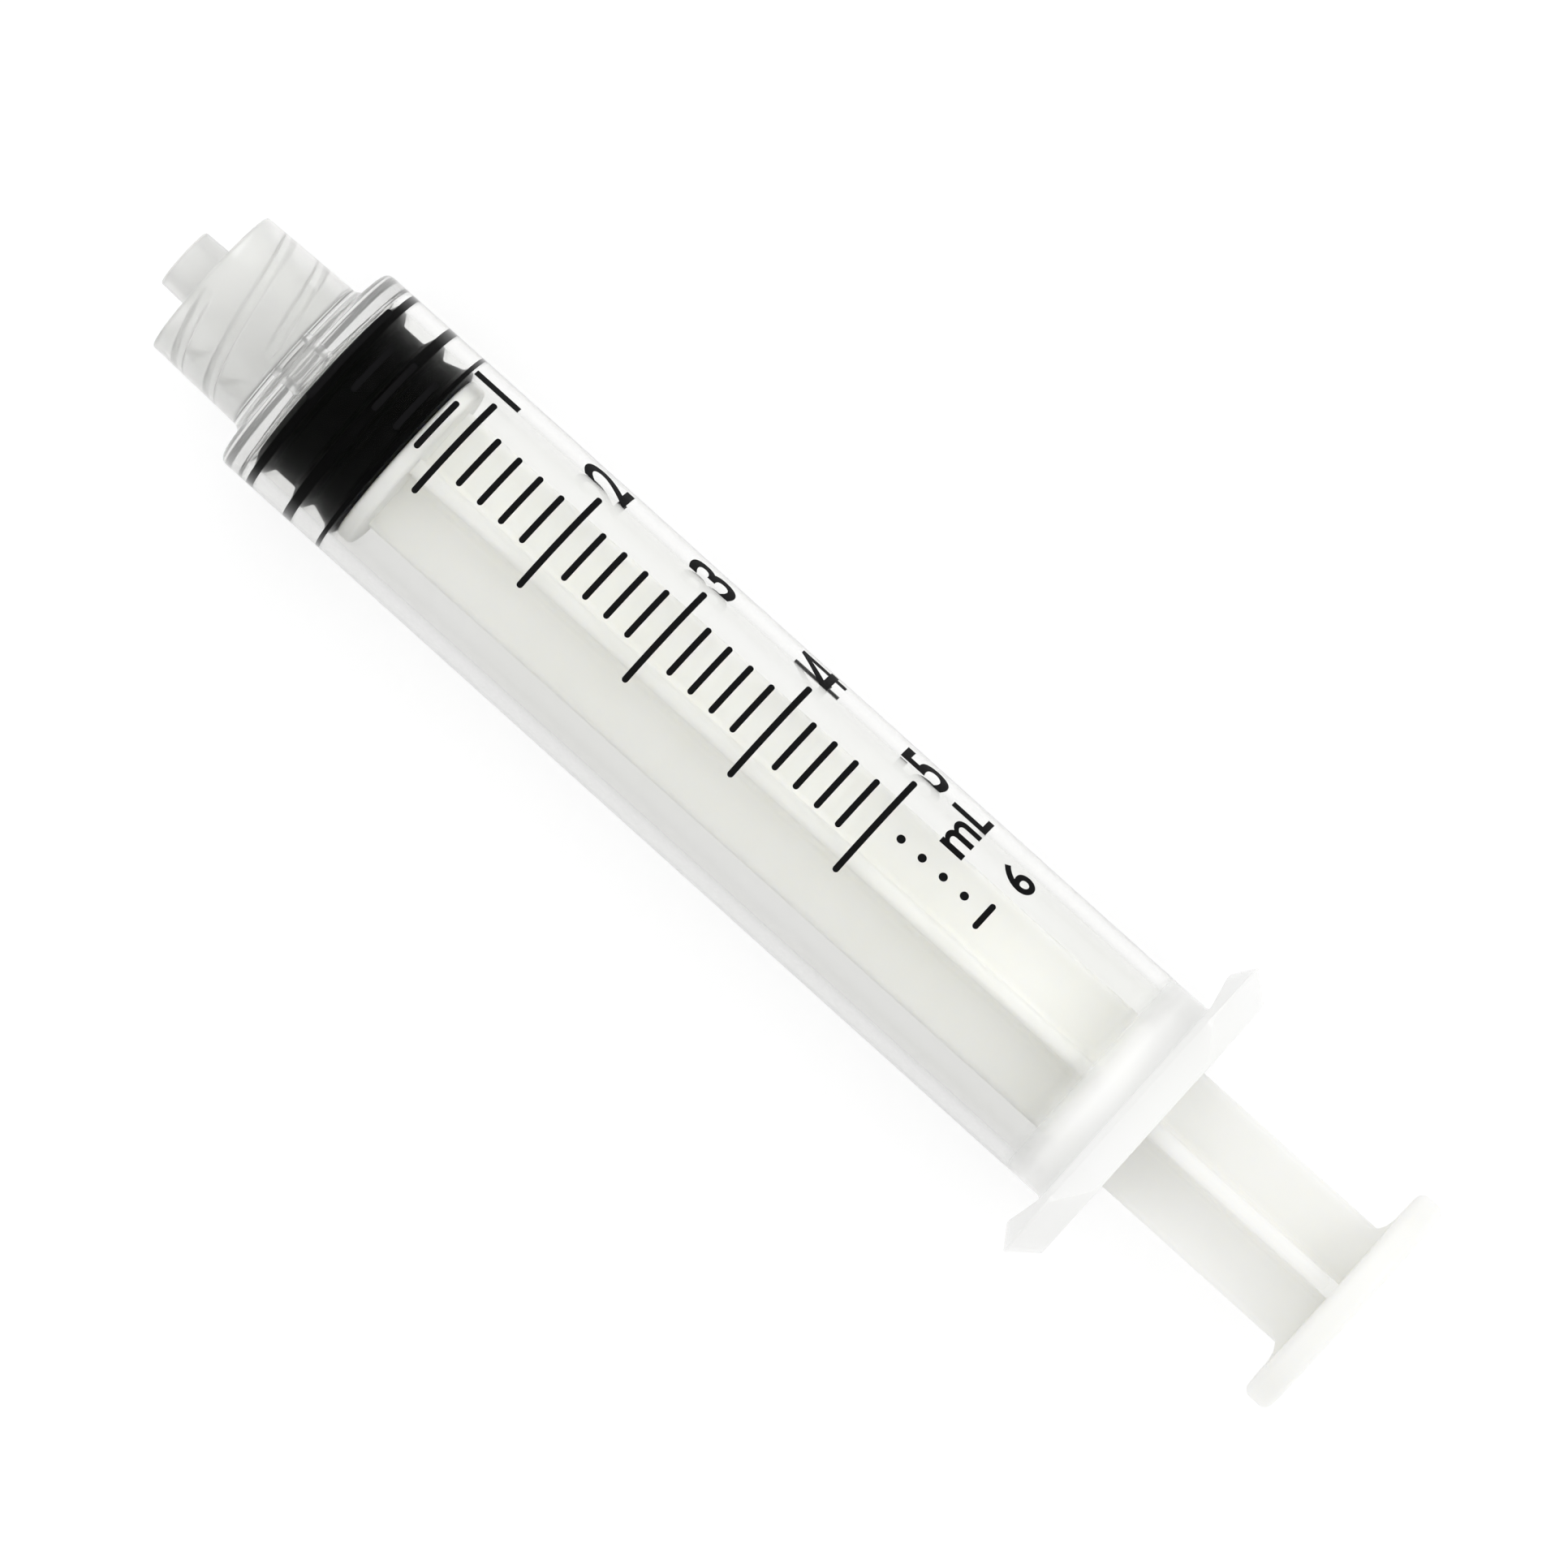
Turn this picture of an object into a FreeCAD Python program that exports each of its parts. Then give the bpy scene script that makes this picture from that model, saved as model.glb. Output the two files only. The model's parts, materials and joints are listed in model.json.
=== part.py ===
import FreeCAD, Part
import math
import os

# All sizes are in millimetres. A station is a distance along the syringe from the end
# of its luer tip, and a radius is a distance from its axis.

# Barrel tube
bore_diameter = 12.51
tube_wall = 1.02
scale_millilitres = 6
mouth_length = 13.17           # from the last scale line to the finger flange
mouth_chamfer = 0.35
bead_height = 0.15             # retaining bead inside the mouth
bead_width = 1.2
bead_crest_width = 0.4
bead_setback = 1.35            # from the bead's crest to the finger flange

# Barrel front
end_wall = 2.15                # from the collar's floor to the inside of the tube
shoulder_wall = 1.55           # from the root of the shoulder to the inside of the tube
shoulder_slope = 0.24
shoulder_fillet = 0.75
shoulder_round = 0.45
shoulder_chords = 4            # of each rounding on the shoulder
inner_cone_rise = 0.5          # the end wall is dished towards the tip
inner_bevel = 0.25

# Luer tip and lock collar
tip_diameter = 3.93
luer_taper = 0.06              # diameter gained for each millimetre of length
lumen_diameter = 2.2
tip_bevel = 0.15
tip_reach = 2.1                # how far the tip stands out of the collar
collar_depth = 6.5
collar_bore_diameter = 8.1
collar_rim_wall = 0.95
collar_base_wall = 1.15
collar_rim_bevel = 0.12
collar_floor_bevel = 0.3

# Thread inside the collar
thread_starts = 2
thread_lead = 5.0
thread_height = 0.5
thread_crest_width = 0.35
thread_root_width = 0.95
thread_rim_gap = 0.65          # plain stretch between the rim and the thread
thread_floor_gap = 0.7
thread_first_angle = 4.3
thread_root_bite = 0.2         # how far the ridge is rooted in the collar's wall

# Finger flange
flange_thickness = 2.2
flange_span = 22.0
flange_flats = 17.0
flange_root_bevel = 0.15
lip_height = 0.53              # the wings' fronts slope towards the tip as they go out
lip_start = 0.125              # plain stretch between the tube and that slope
lip_setback = 1.38             # from the wing's end to the lip's crest
lip_bevel = 0.15
wing_edge_setback = 0.42       # from the flange's front to the thin edge of the wings
wing_edge_width = 0.13
wing_heel_cut = 1.35
wing_heel_bevel = 0.2
flat_bevel_drop = 0.35         # of the flats' front edges

# Rubber stopper
stopper_length = 6.25
stopper_gap = 0.2              # between the stopper and the barrel's end wall
seal_clearance = 0.03
nose_rise = 0.5
nose_bevel = 0.15
front_rib_lead = 0.4           # slope from the stopper's front up to its first seal
front_rib_width = 0.55
middle_rib_station = 3.25      # from the stopper's front
middle_rib_width = 0.7
rear_rib_width = 0.3
rear_rib_setback = 0.1
rib_flank = 0.35
front_groove_depth = 0.67
rear_groove_depth = 0.2
rear_edge_drop = 0.15

# Plunger rod's head, held in the stopper's socket
head_diameter = 6.8
head_length = 2.4
head_nose_rise = 0.8
neck_diameter = 4.8
neck_length = 1.6
socket_clearance = 0.1

# Plunger rod
disc_thickness = 1.1
disc_clearance = 0.205
disc_bevel = 0.2
rod_clearance = 1.855          # from the rod's ribs to the bore
rod_rib_thickness = 1.05
rod_rib_round = 0.3
rod_root_fillet = 0.5
exposed_length = 13.9          # from the finger flange to the thumb press, at 0 mL
gusset_length = 1.35
gusset_reach = 1.4
thumb_diameter = 15.5
thumb_thickness = 1.8
thumb_bevel = 0.3

# Printed scale, whose angles run from the middle of a flat of the flange
ink_thickness = 0.05
ink_gap = 0.01
long_mark_width = 0.4
short_mark_width = 0.39
long_mark_angles = (-51.9, 9.8)
short_mark_angles = (-37.1, -6.0)
last_mark_angles = (-28.9, -13.5)
dot_diameter = 0.55
dot_sides = 12
dot_angle = -22.0
marks_per_millilitre = 5
last_long_mark = 5             # beyond this the scale goes on in dots

# Radii worked out from the sizes above
bore_radius = bore_diameter / 2
tube_radius = bore_radius + tube_wall
lumen_radius = lumen_diameter / 2
collar_bore_radius = collar_bore_diameter / 2
collar_rim_radius = collar_bore_radius + collar_rim_wall
collar_base_radius = collar_bore_radius + collar_base_wall
wing_radius = flange_span / 2
wing_root_radius = tube_radius - tube_wall / 2
lip_crest_radius = wing_radius - lip_setback
seal_radius = bore_radius - seal_clearance
front_groove_radius = seal_radius - front_groove_depth
rear_groove_radius = seal_radius - rear_groove_depth
disc_radius = bore_radius - bead_height - disc_clearance
rod_radius = bore_radius - rod_clearance
thumb_radius = thumb_diameter / 2

# Stations worked out from the sizes above
collar_rim = tip_reach
collar_floor = collar_rim + collar_depth
barrel_end = collar_floor + end_wall
shoulder_root = barrel_end - shoulder_wall
shoulder_top = shoulder_root + shoulder_slope
stopper_front = barrel_end + stopper_gap
stopper_rear = stopper_front + stopper_length
scale_zero = stopper_front + front_rib_lead
millilitre = 1000 / (math.pi * bore_radius ** 2)
flange_front = scale_zero + scale_millilitres * millilitre + mouth_length
flange_rear = flange_front + flange_thickness
lip_crest = flange_front - lip_height
wing_edge = flange_front + wing_edge_setback
bead_station = flange_front - bead_setback
disc_front = stopper_rear + socket_clearance
disc_rear = disc_front + disc_thickness
thumb_front = flange_rear + exposed_length
overall_length = thumb_front + thumb_thickness

# The row frame: the syringe lies along X with its tip towards -X, the flats of its flange
# level and its scale on top. The origin is on the surface below its middle.
to_frame = FreeCAD.Vector(-overall_length / 2, 0, flange_flats / 2)
axis_start = FreeCAD.Vector(0, 0, 0)
axis_direction = FreeCAD.Vector(1, 0, 0)


def unit(vector):
    return vector / vector.Length


def corner(first, second, bevel=0, radius=0, chords=0):
    # A point of an outline in the XZ plane, and how its corner is cut or rounded. Chords
    # stand in for the arc where a true one would be swept into thousands of facets.
    return FreeCAD.Vector(first, 0, second), bevel, radius, chords


def arc_edges(centre, enter, leave, crown, chords):
    if not chords:
        return [Part.Arc(enter, crown, leave).toShape()]
    start = enter - centre
    sweep = start.getAngle(leave - centre)
    sideways = unit(leave - centre - start * math.cos(sweep)) * start.Length
    points = [enter]
    for chord in range(1, chords):
        angle = sweep * chord / chords
        points.append(centre + start * math.cos(angle) + sideways * math.sin(angle))
    points.append(leave)
    return [Part.makeLine(first, second) for first, second in zip(points, points[1:])]


def outline(corners):
    # The closed wire through the corners.
    turns = []
    for index, (point, bevel, radius, chords) in enumerate(corners):
        back = unit(corners[index - 1][0] - point)
        ahead = unit(corners[(index + 1) % len(corners)][0] - point)
        half_turn = back.getAngle(ahead) / 2
        reach = radius / math.tan(half_turn) if radius else bevel
        enter = point + back * reach
        leave = point + ahead * reach
        turn = []
        if radius:
            inward = unit(back + ahead)
            centre = point + inward * (radius / math.sin(half_turn))
            turn = arc_edges(centre, enter, leave, centre - inward * radius, chords)
        elif bevel:
            turn = [Part.makeLine(enter, leave)]
        turns.append((enter, turn, leave))
    edges = []
    for index, (enter, turn, leave) in enumerate(turns):
        last_leave = turns[index - 1][2]
        edges.append(Part.makeLine(last_leave, enter))
        edges.extend(turn)
    return Part.Wire(edges)


def turned(corners):
    # The solid that the outline sweeps round the syringe's axis.
    return Part.Face(outline(corners)).revolve(axis_start, axis_direction, 360)


def turned_by(shape, degrees):
    # Positive angles run from the top of the syringe towards -Y.
    copy = shape.copy()
    copy.rotate(axis_start, axis_direction, degrees)
    return copy


def luer_radius(station):
    return (tip_diameter + luer_taper * station) / 2


def barrel_shell():
    return turned([
        corner(0, lumen_radius),
        corner(0, luer_radius(0), bevel=tip_bevel),
        corner(collar_floor, luer_radius(collar_floor), bevel=collar_floor_bevel),
        corner(collar_floor, collar_bore_radius, bevel=collar_floor_bevel),
        corner(collar_rim, collar_bore_radius, bevel=collar_rim_bevel),
        corner(collar_rim, collar_rim_radius, bevel=collar_rim_bevel),
        corner(shoulder_root, collar_base_radius, radius=shoulder_fillet, chords=shoulder_chords),
        corner(shoulder_top, tube_radius, radius=shoulder_round, chords=shoulder_chords),
        corner(flange_front - flange_root_bevel, tube_radius),
        corner(flange_front, tube_radius + flange_root_bevel),
        corner(flange_rear, tube_radius + flange_root_bevel),
        corner(flange_rear, bore_radius + mouth_chamfer),
        corner(flange_rear - mouth_chamfer, bore_radius),
        corner(bead_station + bead_width / 2, bore_radius),
        corner(bead_station + bead_crest_width / 2, bore_radius - bead_height),
        corner(bead_station - bead_crest_width / 2, bore_radius - bead_height),
        corner(bead_station - bead_width / 2, bore_radius),
        corner(barrel_end, bore_radius, bevel=inner_bevel),
        corner(barrel_end - inner_cone_rise, lumen_radius),
    ])


def flange_plate():
    # A round plate with a thin edge, before its front and its two flats are cut.
    return turned([
        corner(lip_crest, wing_root_radius),
        corner(lip_crest, lip_crest_radius, bevel=lip_bevel),
        corner(wing_edge, wing_radius),
        corner(wing_edge + wing_edge_width, wing_radius),
        corner(flange_rear, wing_radius - wing_heel_cut, bevel=wing_heel_bevel),
        corner(flange_rear, wing_root_radius),
    ])


def front_waste():
    # The plate's front is square to the tube in the middle and slopes out along each wing
    # to the lip's crest, the same at any height.
    ahead = lip_crest - lip_height
    slope_start = tube_radius + lip_start
    side = [
        FreeCAD.Vector(flange_front, slope_start, -flange_span),
        FreeCAD.Vector(lip_crest, lip_crest_radius, -flange_span),
        FreeCAD.Vector(ahead, lip_crest_radius, -flange_span),
    ]
    mirrored = [FreeCAD.Vector(point.x, -point.y, point.z) for point in reversed(side)]
    face = Part.Face(Part.makePolygon(side + mirrored + [side[0]]))
    return face.extrude(FreeCAD.Vector(0, 0, 2 * flange_span))


def flat_waste():
    # What lies past a flat, with the bevel of its front edge.
    flat = flange_flats / 2
    bevel_slope = flat_bevel_drop / wing_edge_setback
    ahead = lip_crest - lip_height
    behind = flange_rear + lip_height
    low = flat - bevel_slope * (wing_edge - ahead)
    corners = [(ahead, low), (wing_edge, flat), (behind, flat), (behind, flange_span), (ahead, flange_span)]
    points = [FreeCAD.Vector(station, -flange_span, height) for station, height in corners]
    face = Part.Face(Part.makePolygon(points + [points[0]]))
    return face.extrude(FreeCAD.Vector(0, 2 * flange_span, 0))


def finger_flange():
    above = flat_waste()
    return flange_plate().cut([front_waste(), above, turned_by(above, 180)])


def thread_ridge(first_angle):
    height = collar_depth - thread_rim_gap - thread_floor_gap
    root = collar_bore_radius + thread_root_bite
    crest = collar_bore_radius - thread_height
    half_root = thread_root_width / 2
    half_crest = thread_crest_width / 2
    section = Part.makePolygon([
        FreeCAD.Vector(root, 0, -half_root),
        FreeCAD.Vector(crest, 0, -half_crest),
        FreeCAD.Vector(crest, 0, half_crest),
        FreeCAD.Vector(root, 0, half_root),
        FreeCAD.Vector(root, 0, -half_root),
    ])
    path = Part.Wire(Part.makeHelix(thread_lead, height, collar_bore_radius).Edges)
    ridge = path.makePipeShell([section], True, True)
    # The helix is made round Z and starts on +X, which this turn takes to -Z.
    ridge.rotate(axis_start, FreeCAD.Vector(0, 1, 0), 90)
    ridge.translate(FreeCAD.Vector(collar_rim + thread_rim_gap, 0, 0))
    return turned_by(ridge, first_angle - 180)


def barrel():
    step = 360 / thread_starts
    ridges = [thread_ridge(thread_first_angle + start * step) for start in range(thread_starts)]
    body = barrel_shell().fuse(finger_flange()).removeSplitter()
    return body.fuse(ridges)


def stopper():
    front = stopper_front
    middle = front + middle_rib_station
    rear_rib_end = stopper_rear - rear_rib_setback
    rear_rib_start = rear_rib_end - rear_rib_width
    front_rib_start = front + front_rib_lead
    front_rib_end = front_rib_start + front_rib_width
    middle_end = middle + middle_rib_width
    mouth_radius = neck_diameter / 2 + socket_clearance
    socket_radius = head_diameter / 2 + socket_clearance
    socket_start = disc_front - neck_length + socket_clearance
    socket_end = disc_front - neck_length - head_length - socket_clearance
    return turned([
        corner(front - nose_rise, 0),
        corner(front, front_groove_radius, bevel=nose_bevel),
        corner(front_rib_start, seal_radius),
        corner(front_rib_end, seal_radius),
        corner(front_rib_end + rib_flank, front_groove_radius),
        corner(middle - rib_flank, front_groove_radius),
        corner(middle, seal_radius),
        corner(middle_end, seal_radius),
        corner(middle_end + rib_flank, front_groove_radius),
        corner(rear_rib_start - rear_groove_depth, rear_groove_radius),
        corner(rear_rib_start, seal_radius),
        corner(rear_rib_end, seal_radius),
        corner(stopper_rear, seal_radius - rear_edge_drop),
        corner(stopper_rear, mouth_radius),
        corner(socket_start, mouth_radius),
        corner(socket_start, socket_radius),
        corner(socket_end, socket_radius),
        corner(socket_end - head_nose_rise, 0),
    ])


def rod_head_and_disc():
    head_rear = disc_front - neck_length
    head_front = head_rear - head_length
    return turned([
        corner(head_front - head_nose_rise, 0),
        corner(head_front, head_diameter / 2),
        corner(head_rear, head_diameter / 2),
        corner(head_rear, neck_diameter / 2),
        corner(disc_front, neck_diameter / 2),
        corner(disc_front, disc_radius, bevel=disc_bevel),
        corner(disc_rear, disc_radius, bevel=disc_bevel),
        corner(disc_rear, 0),
    ])


def thumb_press():
    return turned([
        corner(thumb_front, 0),
        corner(thumb_front, thumb_radius, bevel=thumb_bevel),
        corner(overall_length, thumb_radius, bevel=thumb_bevel),
        corner(overall_length, 0),
    ])


def rod_shaft():
    # Four ribs in a cross, with rounded edges and a fillet where they meet.
    half = rod_rib_thickness / 2
    quarter = [
        (half, half, rod_root_fillet),
        (half, rod_radius, rod_rib_round),
        (-half, rod_radius, rod_rib_round),
    ]
    corners = []
    for turn in range(4):
        angle = math.radians(90 * turn)
        for across, out, radius in quarter:
            first = across * math.cos(angle) - out * math.sin(angle)
            second = across * math.sin(angle) + out * math.cos(angle)
            corners.append(corner(first, second, radius=radius))
    section = Part.Face(outline(corners))
    section.rotate(axis_start, FreeCAD.Vector(0, 0, 1), 90)
    section.translate(FreeCAD.Vector(disc_rear - disc_thickness / 2, 0, 0))
    length = thumb_front - disc_rear + disc_thickness / 2 + thumb_thickness / 2
    return section.extrude(axis_direction * length)


def gusset_web():
    # A web that widens two opposite ribs where they run into the thumb press.
    start = thumb_front - gusset_length
    end = thumb_front + thumb_thickness / 2
    wide = rod_radius + gusset_reach
    web = Part.Face(outline([
        corner(start, rod_radius - rod_rib_round),
        corner(thumb_front, wide),
        corner(end, wide),
        corner(end, -wide),
        corner(thumb_front, -wide),
        corner(start, rod_rib_round - rod_radius),
    ]))
    web.translate(FreeCAD.Vector(0, -rod_rib_thickness / 2, 0))
    return web.extrude(FreeCAD.Vector(0, rod_rib_thickness, 0))


def plunger_rod():
    web = gusset_web()
    pieces = [rod_shaft(), thumb_press(), web, turned_by(web, 90)]
    return rod_head_and_disc().fuse(pieces).removeSplitter()


def ink_bar(station, width, angles):
    low = tube_radius + ink_gap
    section = Part.Face(outline([
        corner(station - width / 2, low),
        corner(station + width / 2, low),
        corner(station + width / 2, low + ink_thickness),
        corner(station - width / 2, low + ink_thickness),
    ]))
    first, last = angles
    return turned_by(section, first).revolve(axis_start, axis_direction, last - first)


def ink_dot(station):
    rim = []
    for side in range(dot_sides + 1):
        angle = 2 * math.pi * side / dot_sides
        along = dot_diameter / 2 * math.cos(angle)
        across = dot_diameter / 2 * math.sin(angle)
        rim.append(FreeCAD.Vector(station + along, across, tube_radius + ink_gap))
    dot = Part.Face(Part.makePolygon(rim)).extrude(FreeCAD.Vector(0, 0, ink_thickness))
    return turned_by(dot, dot_angle)


def scale_marks():
    marks = []
    for mark in range(scale_millilitres * marks_per_millilitre + 1):
        volume = mark / marks_per_millilitre
        station = scale_zero + volume * millilitre
        if mark == scale_millilitres * marks_per_millilitre:
            marks.append(ink_bar(station, short_mark_width, last_mark_angles))
        elif volume > last_long_mark:
            marks.append(ink_dot(station))
        elif mark % marks_per_millilitre == 0:
            marks.append(ink_bar(station, long_mark_width, long_mark_angles))
        else:
            marks.append(ink_bar(station, short_mark_width, short_mark_angles))
    return Part.makeCompound(marks)


def main():
    os.makedirs("parts", exist_ok=True)
    nodes = {
        "barrel": barrel(),
        "stopper": stopper(),
        "plunger_rod": plunger_rod(),
        "scale_marks": scale_marks(),
    }
    for name, shape in nodes.items():
        placed = shape.copy()
        placed.translate(to_frame)
        placed.exportStep(f"parts/{name}.step")
        print(name, len(placed.Solids), round(placed.Volume, 2), placed.isValid())
    print("overall length", round(overall_length, 3), "scale pitch", round(millilitre, 3))


main()
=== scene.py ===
import json
import math

import bmesh
import bpy
from mathutils import Matrix, Vector


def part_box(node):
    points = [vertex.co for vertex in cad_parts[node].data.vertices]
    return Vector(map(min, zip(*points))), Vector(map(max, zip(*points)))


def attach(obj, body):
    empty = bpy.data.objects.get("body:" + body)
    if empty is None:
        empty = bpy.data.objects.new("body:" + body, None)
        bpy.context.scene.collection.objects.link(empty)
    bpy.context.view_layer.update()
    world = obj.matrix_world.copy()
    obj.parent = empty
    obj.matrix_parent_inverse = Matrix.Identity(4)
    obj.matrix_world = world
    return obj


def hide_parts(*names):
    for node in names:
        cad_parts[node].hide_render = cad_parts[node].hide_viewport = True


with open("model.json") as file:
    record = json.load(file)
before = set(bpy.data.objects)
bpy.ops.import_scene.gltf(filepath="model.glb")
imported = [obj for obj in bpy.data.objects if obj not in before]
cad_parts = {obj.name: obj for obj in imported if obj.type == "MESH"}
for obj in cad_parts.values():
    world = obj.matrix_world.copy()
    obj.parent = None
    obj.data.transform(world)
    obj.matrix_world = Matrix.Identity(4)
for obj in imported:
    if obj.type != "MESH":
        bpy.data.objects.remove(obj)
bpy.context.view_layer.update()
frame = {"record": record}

mm = 0.001
weldDistance = 1e-7     # points closer than this become one, in metres
sliverLength = 1e-8     # edges shorter than this go, in metres
nearAxis = 0.02         # how close to the axis a turned outline ends

# Shapes and stations are in millimetres. The syringe lies along X on a flat of its
# flange. A station is a distance from the luer tip, and an angle is measured round the
# axis from the top towards -Y.
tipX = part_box("barrel")[0].x
axisZ = (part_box("barrel")[0].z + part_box("barrel")[1].z) / 2


def mountNamed(name):
    return next(m for m in frame["record"]["mounts"] if m["name"] == name)


def spot(station, radius, degrees):   # a place on the syringe, in metres
    turn = math.radians(degrees)
    across = -radius * math.sin(turn) * mm
    up = radius * math.cos(turn) * mm
    return Vector((tipX + station * mm, across, axisZ + up))


def offAxis(station, across, up):   # a place beside and above the axis, in metres
    return Vector((tipX + station * mm, across * mm, axisZ + up * mm))


def stationOf(x):
    return (x - tipX) / mm


# Mesh helpers

def roundedOutline(corners, closed=True, steps=8, support=0.06):
    # Corners are (station, radius, rounding). Round corners become arcs of even steps,
    # and each straight run gets a support point near its ends, which keeps it flat.
    count = len(corners)
    turns = []
    for index, (first, second, rounding) in enumerate(corners):
        point = Vector((first, second))
        if rounding == 0 or (not closed and index in (0, count - 1)):
            turns.append([point])
            continue
        before = corners[index - 1]
        after = corners[(index + 1) % count]
        back = (Vector(before[:2]) - point).normalized()
        ahead = (Vector(after[:2]) - point).normalized()
        halfTurn = back.angle(ahead) / 2
        reach = rounding / math.tan(halfTurn)
        centre = point + (back + ahead).normalized() * (rounding / math.sin(halfTurn))
        enter = point + back * reach - centre
        leave = point + ahead * reach - centre
        sweep = enter.angle_signed(leave)
        arc = []
        for step in range(steps + 1):
            spin = Matrix.Rotation(-sweep * step / steps, 2)
            arc.append(centre + spin @ enter)
        turns.append(arc)
    points = []
    for index, turn in enumerate(turns):
        points.extend(turn)
        if not closed and index == count - 1:
            break
        start = turn[-1]
        end = turns[(index + 1) % count][0]
        length = (end - start).length
        if length > 3 * support:   # room for both support points
            ahead = (end - start) / length
            points.append(start + ahead * support)
            points.append(end - ahead * support)
    return points


def meshObject(name, vertices, faces):
    mesh = bpy.data.meshes.new(name)
    mesh.from_pydata(vertices, [], faces)
    mesh.validate()
    piece = bpy.data.objects.new(name, mesh)
    bpy.context.scene.collection.objects.link(piece)
    return piece


def prism(name, vertices):   # a closed solid from two like outlines, one after the other
    count = len(vertices) // 2
    faces = [tuple(range(count)), tuple(reversed(range(count, 2 * count)))]
    for index in range(count):
        following = (index + 1) % count
        faces.append((index, count + index, count + following, following))
    return meshObject(name, vertices, faces)


def smoothed(piece, sharpAngle=32):
    work = bmesh.new()
    work.from_mesh(piece.data)
    bmesh.ops.remove_doubles(work, verts=work.verts, dist=weldDistance)
    bmesh.ops.dissolve_degenerate(work, edges=work.edges, dist=sliverLength)
    bmesh.ops.recalc_face_normals(work, faces=work.faces)
    for face in work.faces:
        face.smooth = True
    limit = math.radians(sharpAngle)
    for edge in work.edges:
        if len(edge.link_faces) == 2:
            edge.smooth = edge.calc_face_angle(0) < limit
    work.to_mesh(piece.data)
    work.free()
    return piece


def latheColumns(name, columns):
    # A closed skin through columns of (station, radius) points, one column for each angle.
    vertices = []
    for degrees, column in columns:
        for station, radius in column:
            vertices.append(spot(station, radius, degrees))
    rows = len(columns[0][1])
    faces = []
    for index in range(len(columns)):
        here = index * rows
        beside = ((index + 1) % len(columns)) * rows
        for row in range(rows):
            following = (row + 1) % rows
            faces.append((here + row, here + following, beside + following, beside + row))
    return meshObject(name, vertices, faces)


def turned(name, outline, segments):
    columns = []
    for index in range(segments):
        columns.append((360 * index / segments, [tuple(point) for point in outline]))
    return latheColumns(name, columns)


def united(name, pieces):   # one closed skin from pieces that run into each other
    body = pieces[0]
    body.name = name
    for other in pieces[1:]:
        join = body.modifiers.new("join", "BOOLEAN")
        join.operation = "UNION"
        join.solver = "EXACT"
        join.object = other
    bpy.context.view_layer.update()
    depsgraph = bpy.context.evaluated_depsgraph_get()
    mesh = bpy.data.meshes.new_from_object(body.evaluated_get(depsgraph))
    body.modifiers.clear()
    body.data = mesh
    for other in pieces[1:]:
        bpy.data.objects.remove(other)
    return body


# Material helpers

noiseSpan = (0.3, 0.7)   # the stretch of a noise field that goes from one look to another


def newMaterial(name):
    material = bpy.data.materials.new(name)
    material.use_nodes = True
    nodes = material.node_tree.nodes
    shader = nodes["Principled BSDF"]
    return material, nodes, material.node_tree.links, shader


def noiseField(nodes, links, scale, detail, stretch=(1, 1, 1)):
    place = nodes.new("ShaderNodeTexCoord")
    mapping = nodes.new("ShaderNodeMapping")
    mapping.inputs["Scale"].default_value = stretch
    noise = nodes.new("ShaderNodeTexNoise")
    noise.inputs["Scale"].default_value = scale
    noise.inputs["Detail"].default_value = detail
    links.new(place.outputs["Object"], mapping.inputs["Vector"])
    links.new(mapping.outputs["Vector"], noise.inputs["Vector"])
    return noise.outputs["Fac"]


def placeAxes(nodes, links, coordinates="Object"):   # X, Y and Z of a place, by name
    place = nodes.new("ShaderNodeTexCoord")
    axes = nodes.new("ShaderNodeSeparateXYZ")
    links.new(place.outputs[coordinates], axes.inputs[0])
    return axes.outputs


def axisDistance(nodes, links):   # how far a place is from the syringe's axis
    place = nodes.new("ShaderNodeTexCoord")
    flatten = nodes.new("ShaderNodeVectorMath")
    flatten.operation = "MULTIPLY"
    flatten.inputs[1].default_value = (0, 1, 1)
    links.new(place.outputs["Object"], flatten.inputs[0])
    away = nodes.new("ShaderNodeVectorMath")
    away.operation = "DISTANCE"
    away.inputs[1].default_value = (0, 0, axisZ)
    links.new(flatten.outputs[0], away.inputs[0])
    return away.outputs["Value"]


def calculated(nodes, links, operation, *fields):
    result = nodes.new("ShaderNodeMath")
    result.operation = operation
    for index, field in enumerate(fields):
        links.new(field, result.inputs[index])
    return result.outputs[0]


def filled(links, socket, value):   # with a fixed number, or with what a node gives
    if isinstance(value, float):
        socket.default_value = value
    else:
        links.new(value, socket)


def blended(nodes, links, share, first, second):   # the first at 0 and the second at 1
    mix = nodes.new("ShaderNodeMix")
    links.new(share, mix.inputs["Factor"])
    filled(links, mix.inputs["A"], first)
    filled(links, mix.inputs["B"], second)
    return mix.outputs["Result"]


def spread(nodes, links, field, fromEdges, toValues):
    ramp = nodes.new("ShaderNodeMapRange")
    ramp.interpolation_type = "SMOOTHSTEP"
    ramp.inputs["From Min"].default_value = fromEdges[0]
    ramp.inputs["From Max"].default_value = fromEdges[1]
    ramp.inputs["To Min"].default_value = toValues[0]
    ramp.inputs["To Max"].default_value = toValues[1]
    links.new(field, ramp.inputs["Value"])
    return ramp.outputs["Result"]


def risen(nodes, links, field, edges):   # 0 before the edges and 1 past them
    return spread(nodes, links, field, edges, (0.0, 1.0))


def tinted(nodes, links, field, lowColour, highColour):   # a noise field between colours
    ramp = nodes.new("ShaderNodeValToRGB")
    stops = ramp.color_ramp.elements
    for stop, position, colour in zip(stops, noiseSpan, (lowColour, highColour)):
        stop.position = position
        stop.color = (*colour, 1)
    links.new(field, ramp.inputs["Fac"])
    return ramp.outputs["Color"]


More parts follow.
